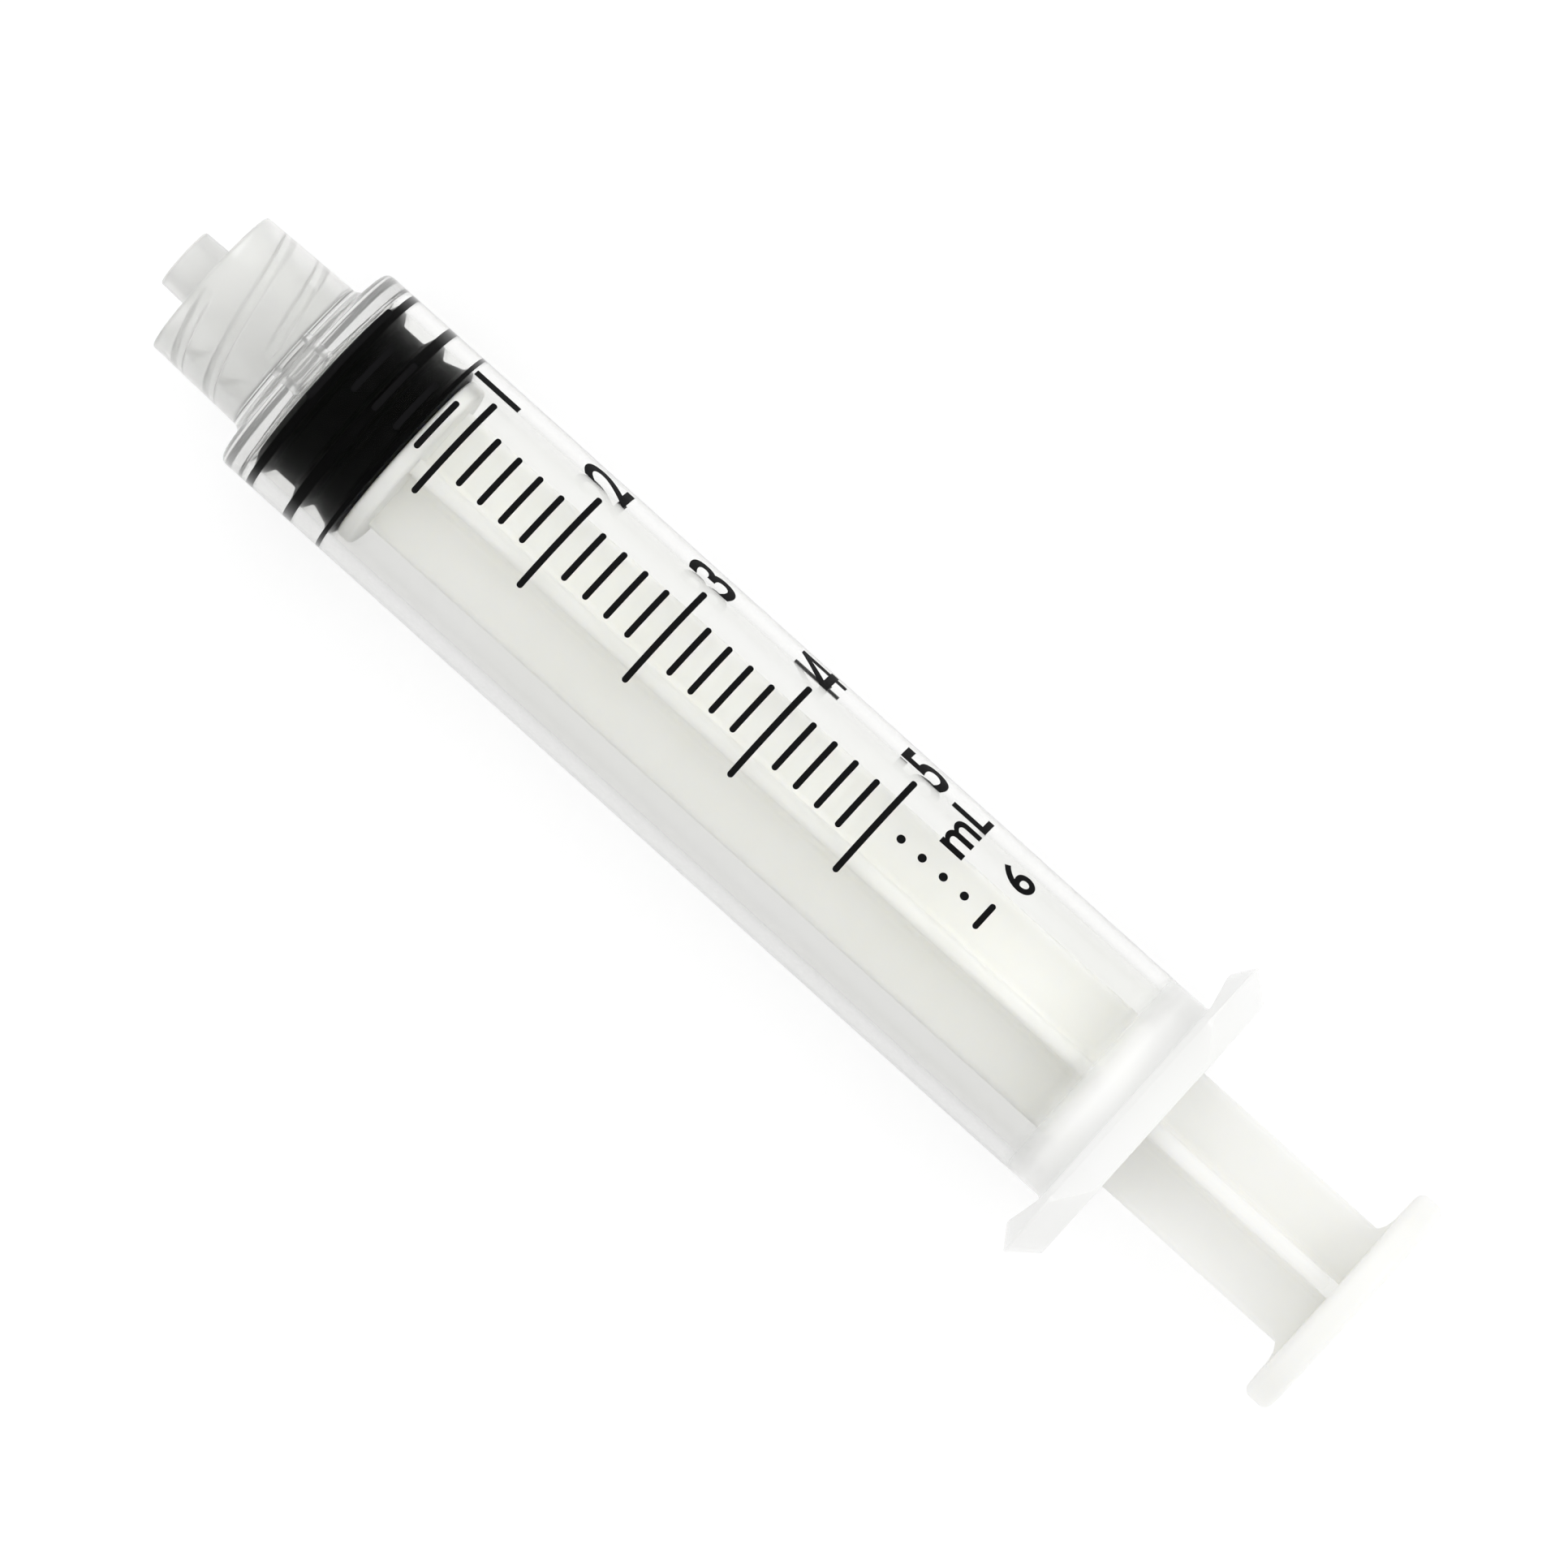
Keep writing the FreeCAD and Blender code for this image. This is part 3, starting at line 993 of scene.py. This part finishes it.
def fourMesh():
    work = bmesh.new()
    addOutlines(work, fourShape)
    mesh = bpy.data.meshes.new("figure")
    work.to_mesh(mesh)
    work.free()
    return mesh


def fontMesh(text):
    curve = bpy.data.curves.new("figure", "FONT")
    curve.body = text
    curve.offset = figureShape["weight"]
    curve.resolution_u = figureShape["curveSteps"]
    writer = bpy.data.objects.new("figure", curve)
    bpy.context.scene.collection.objects.link(writer)
    bpy.context.view_layer.update()
    depsgraph = bpy.context.evaluated_depsgraph_get()
    mesh = bpy.data.meshes.new_from_object(writer.evaluated_get(depsgraph))
    bpy.data.objects.remove(writer)
    return mesh


def textMesh(text, height, width):   # a flat mesh of a figure, brought to a size
    mesh = fourMesh() if text == "4" else fontMesh(text)
    lowX = min(v.co.x for v in mesh.vertices)
    highX = max(v.co.x for v in mesh.vertices)
    lowY = min(v.co.y for v in mesh.vertices)
    highY = max(v.co.y for v in mesh.vertices)
    upScale = height / (highY - lowY)
    acrossScale = width / (highX - lowX) if width else upScale * figureShape["stretch"]
    for vertex in mesh.vertices:
        vertex.co.x = (vertex.co.x - lowX) * acrossScale
        vertex.co.y = (vertex.co.y - lowY) * upScale
    return mesh


def addText(work, text, station, startAngle, height, width=0):
    # The figures' tops point at the tip, and they read away from the marks.
    mesh = textMesh(text, height, width)
    for vertex in mesh.vertices:
        across, up = vertex.co.x, vertex.co.y
        vertex.co = Vector((station + height / 2 - up, startAngle - across / perDegree, 0))
    work.from_mesh(mesh)


def makePrint(material):
    shape = figureShape
    work = bmesh.new()
    addOutlines(work, scaleMarks())
    for value in range(1, inkShape["lastLongMark"] + 1):
        station = scaleStation(value) + shape["shift"] + shape["drift"] * value
        addText(work, str(value), station, shape["startAngle"], shape["height"])
    last = inkShape["millilitres"]
    addText(work, str(last), scaleStation(last), shape["lastStart"], shape["lastHeight"])
    unitBase = scaleStation(inkShape["lastLongMark"]) + shape["unitSetback"]
    for letter, start, height, width in shape["unit"]:
        addText(work, letter, unitBase - height / 2, start, height, width)
    flat = bpy.data.meshes.new("flatPrint")
    work.to_mesh(flat)
    work.free()
    piece = bpy.data.objects.new("scalePrint", wrappedPrint("scalePrint", flat))
    bpy.context.scene.collection.objects.link(piece)
    piece.data.materials.append(material)
    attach(piece, "barrel")
    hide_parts("scale_marks")


# Floor, light and camera

stageShape = {
    "floorSize": 3.0,       # in metres
    "floorShare": 0.36,     # how much of the floor's white comes from the light on it
    "floorGlow": 0.71,
    # Painted shade: for rays through the clear tube the floor glows darker towards -Y, so the
    # tube's lower side looks shaded.
    "shadeThroughTubeEdges": (-9 * mm, 3 * mm),   # across the floor as the clear tube shows it
    "shadeThroughTubeGlow": (0.53, 0.72),
    "mirroredEdges": (10 * mm, 40 * mm),   # how far out gloss still shows the white floor
    "floorGrey": 0.9,
}

lightShape = {
    "room": 1.0,            # the plain light on everything
    "background": 1.0,
    "ceiling": 0.25,        # the dark ceiling, seen in gloss
    "wall": 1.0,            # the white below it, seen through the clear plastic
    "ceilingEdge": (0.0, 0.35),
    "sideEdge": (-0.9, 0.9),
    "sideGlow": (1.22, 2.15),   # the light that reaches what lies inside the tube
    "lampPower": 1.8,       # in watts
    "lampSize": 0.5,        # in metres, as its place
    "lampFrom": (0.6, 0.75, 0.85),
}


def counted(nodes, links, count):   # 0 for a count of 0, and 1 from a count of 1 on
    return risen(nodes, links, count, (0.4, 0.6))


def shinyRay(nodes, links, path):   # 1 for what gloss and clear plastic show
    glossy, clear = path.outputs["Is Glossy Ray"], path.outputs["Is Transmission Ray"]
    return calculated(nodes, links, "MAXIMUM", glossy, clear)


def chosen(nodes, links, choice, otherwise, then):
    mix = nodes.new("ShaderNodeMixShader")
    links.new(choice, mix.inputs["Fac"])
    links.new(otherwise, mix.inputs[1])
    links.new(then, mix.inputs[2])
    return mix.outputs[0]


def glowing(nodes, links, strength, kind="ShaderNodeEmission"):
    glow = nodes.new(kind)
    glow.inputs["Color"].default_value = (1, 1, 1, 1)
    filled(links, glow.inputs["Strength"], strength)
    return glow.outputs[0]


def worldLight(nodes, links, strength):
    return glowing(nodes, links, strength, "ShaderNodeBackground")


def matted(nodes, grey):
    matt = nodes.new("ShaderNodeBsdfDiffuse")
    matt.inputs["Color"].default_value = (grey, grey, grey, 1)
    return matt.outputs[0]


def floorMaterial():
    shape = stageShape
    material = bpy.data.materials.new("paleFloor")
    material.use_nodes = True
    nodes, links = material.node_tree.nodes, material.node_tree.links
    nodes.clear()
    output = nodes.new("ShaderNodeOutputMaterial")
    path = nodes.new("ShaderNodeLightPath")
    across = placeAxes(nodes, links)["Y"]
    # Painted shade: seen through the tube, the floor's white glow is darker towards -Y, which
    # darkens the tube's lower side.
    shadeThroughTube = spread(nodes, links, across, shape["shadeThroughTubeEdges"], shape["shadeThroughTubeGlow"])
    throughTube = path.outputs["Is Transmission Ray"]
    white = blended(nodes, links, throughTube, shape["floorGlow"], shadeThroughTube)
    both = nodes.new("ShaderNodeAddShader")
    links.new(matted(nodes, shape["floorShare"]), both.inputs[0])
    links.new(glowing(nodes, links, white), both.inputs[1])
    # In a reflection only the near floor is white, as a sheet of paper in a dark room.
    away = calculated(nodes, links, "ABSOLUTE", across)
    distant = risen(nodes, links, away, shape["mirroredEdges"])
    mirrored = counted(nodes, links, path.outputs["Glossy Depth"])
    darkened = calculated(nodes, links, "MULTIPLY", distant, mirrored)
    dark = glowing(nodes, links, lightShape["ceiling"])
    shown = chosen(nodes, links, darkened, both.outputs[0], dark)
    shiny = shinyRay(nodes, links, path)
    seen = calculated(nodes, links, "MAXIMUM", path.outputs["Is Camera Ray"], shiny)
    floor = chosen(nodes, links, seen, matted(nodes, shape["floorGrey"]), shown)
    links.new(floor, output.inputs["Surface"])
    return material


def makeFloor():
    half = stageShape["floorSize"] / 2
    vertices = [(-half, -half, 0), (half, -half, 0), (half, half, 0), (-half, half, 0)]
    floor = meshObject("floor", vertices, [(0, 1, 2, 3)])
    floor.data.materials.append(floorMaterial())


def makeWorld():
    shape = lightShape
    world = bpy.data.worlds.new("studio")
    bpy.context.scene.world = world
    world.use_nodes = True
    nodes, links = world.node_tree.nodes, world.node_tree.links
    nodes.clear()
    output = nodes.new("ShaderNodeOutputWorld")
    path = nodes.new("ShaderNodeLightPath")
    axes = placeAxes(nodes, links, "Generated")
    fall = (shape["wall"], shape["ceiling"])
    height = spread(nodes, links, axes["Z"], shape["ceilingEdge"], fall)
    walls = worldLight(nodes, links, height)
    dark = worldLight(nodes, links, shape["ceiling"])
    mirrored = counted(nodes, links, path.outputs["Glossy Depth"])
    shown = chosen(nodes, links, mirrored, walls, dark)
    # What lies inside the tube is lit through the clear wall, and more from one side.
    side = spread(nodes, links, axes["Y"], shape["sideEdge"], shape["sideGlow"])
    lighting = counted(nodes, links, path.outputs["Diffuse Depth"])
    shone = chosen(nodes, links, lighting, shown, worldLight(nodes, links, side))
    room = worldLight(nodes, links, shape["room"])
    unseen = chosen(nodes, links, shinyRay(nodes, links, path), room, shone)
    white = worldLight(nodes, links, shape["background"])
    everything = chosen(nodes, links, path.outputs["Is Camera Ray"], unseen, white)
    links.new(everything, output.inputs["Surface"])


def makeLamp():
    lamp = bpy.data.lights.new("softbox", "AREA")
    lamp.shape = "SQUARE"
    lamp.size = lightShape["lampSize"]
    lamp.energy = lightShape["lampPower"]
    holder = bpy.data.objects.new("softbox", lamp)
    bpy.context.scene.collection.objects.link(holder)
    holder.location = Vector(lightShape["lampFrom"])
    aim = Vector((0, 0, axisZ)) - holder.location
    holder.rotation_euler = aim.to_track_quat("-Z", "Y").to_euler()


cameraShape = {
    "imageWidth": 1932,
    "pixelsPerMillimetre": 21.3,
    "distance": 859 * mm,
    "footStation": 76.7,    # the camera stands over this station
    "aimStation": 46.3,
    "aimAcross": -0.587,    # from the axis to the picture's middle, towards -Y
    "axisSlope": 41.96,     # of the syringe in the picture, falling to the right
    "sensor": 36.0,
    "clip": (0.05, 10),     # in metres
}


def makeCamera():
    shape = cameraShape
    along = Vector((1, 0, 0))
    across = Vector((0, -1, 0))
    above = Vector((0, 0, 1))
    foot = spot(shape["footStation"], 0, 0)
    aim = spot(shape["aimStation"], 0, 0) + across * shape["aimAcross"] * mm
    place = foot + above * shape["distance"] + across * shape["aimAcross"] * mm
    back = (place - aim).normalized()
    slope = math.radians(shape["axisSlope"])
    right = along * math.cos(slope) - across * math.sin(slope)
    right = (right - back * right.dot(back)).normalized()
    up = back.cross(right)
    camera = bpy.data.cameras.new("camera")
    holder = bpy.data.objects.new("camera", camera)
    bpy.context.scene.collection.objects.link(holder)
    turn = Matrix((right, up, back)).transposed()
    holder.matrix_world = Matrix.Translation(place) @ turn.to_4x4()
    frameWidth = shape["imageWidth"] / shape["pixelsPerMillimetre"] * mm
    camera.sensor_width = shape["sensor"]
    camera.lens = shape["sensor"] * (place - aim).length / frameWidth
    camera.clip_start, camera.clip_end = shape["clip"]
    bpy.context.scene.camera = holder


bpy.context.scene.view_settings.view_transform = "Standard"
makeCamera()
print("camera set")
makeFloor()
makeWorld()
makeLamp()
print("floor and light set")
makeBarrel(clearPlasticMaterial())
print("barrel made")
makeStopper(rubberMaterial())
print("stopper made")
makePlungerRod(rodMaterial())
print("plunger rod made")
makePrint(inkMaterial())
print("scale printed")
